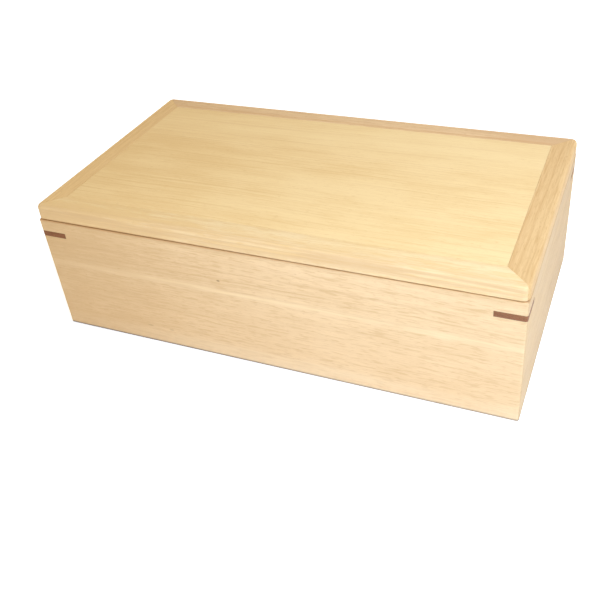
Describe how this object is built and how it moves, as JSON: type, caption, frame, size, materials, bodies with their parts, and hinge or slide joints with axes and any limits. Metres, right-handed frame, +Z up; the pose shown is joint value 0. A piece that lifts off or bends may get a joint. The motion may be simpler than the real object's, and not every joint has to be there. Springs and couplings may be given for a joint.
{
  "type": "wooden bento box",
  "caption": "Long low food box of pale wood with dark corner keys, a flush framed lid that lifts off, and a loose divider that slides along inside.",
  "frame": {"origin": "on the surface that the box stands on, under the middle of the box", "axes": "+X along the length, to the right seen from the front; +Y to the back; +Z up"},
  "size_m": [0.2, 0.1092, 0.0614],
  "materials": {
    "wall_wood": "pale straight-grained hardwood with a clear satin oil finish",
    "rail_wood": "the same pale hardwood, a shade pinker, clear satin oil finish",
    "panel_wood": "very fine straight grain, clear satin oil finish",
    "inner_wood": "pale hardwood, sanded and lightly oiled",
    "key_wood": "dark reddish-brown hardwood, sanded flush and oiled"
  },
  "bodies": {
    "box_body": {"front_wall": "wall_wood", "right_wall": "wall_wood", "back_wall": "wall_wood", "left_wall": "wall_wood", "bottom_board": "inner_wood", "key_front_left": "key_wood", "key_front_right": "key_wood", "key_back_right": "key_wood", "key_back_left": "key_wood"},
    "lid": {"lid_rail_front": "rail_wood", "lid_rail_right": "rail_wood", "lid_rail_back": "rail_wood", "lid_rail_left": "rail_wood", "lid_panel": "panel_wood", "lid_tongue_front_left": "inner_wood", "lid_tongue_front_right": "inner_wood", "lid_tongue_back_right": "inner_wood", "lid_tongue_back_left": "inner_wood", "lid_lip_front": "inner_wood", "lid_lip_right": "inner_wood", "lid_lip_back": "inner_wood", "lid_lip_left": "inner_wood"},
    "divider": {"divider_board": "inner_wood", "divider_end_front": "inner_wood", "divider_end_back": "inner_wood"}
  },
  "joints": [
    {"name": "lid_lift", "type": "slide", "parent": "box_body", "child": "lid", "axis": [0, 0, 1], "range_m": [0, 0.08]},
    {"name": "divider_slide", "type": "slide", "parent": "box_body", "child": "divider", "axis": [1, 0, 0], "range_m": [-0.102, 0.062]}
  ]
}
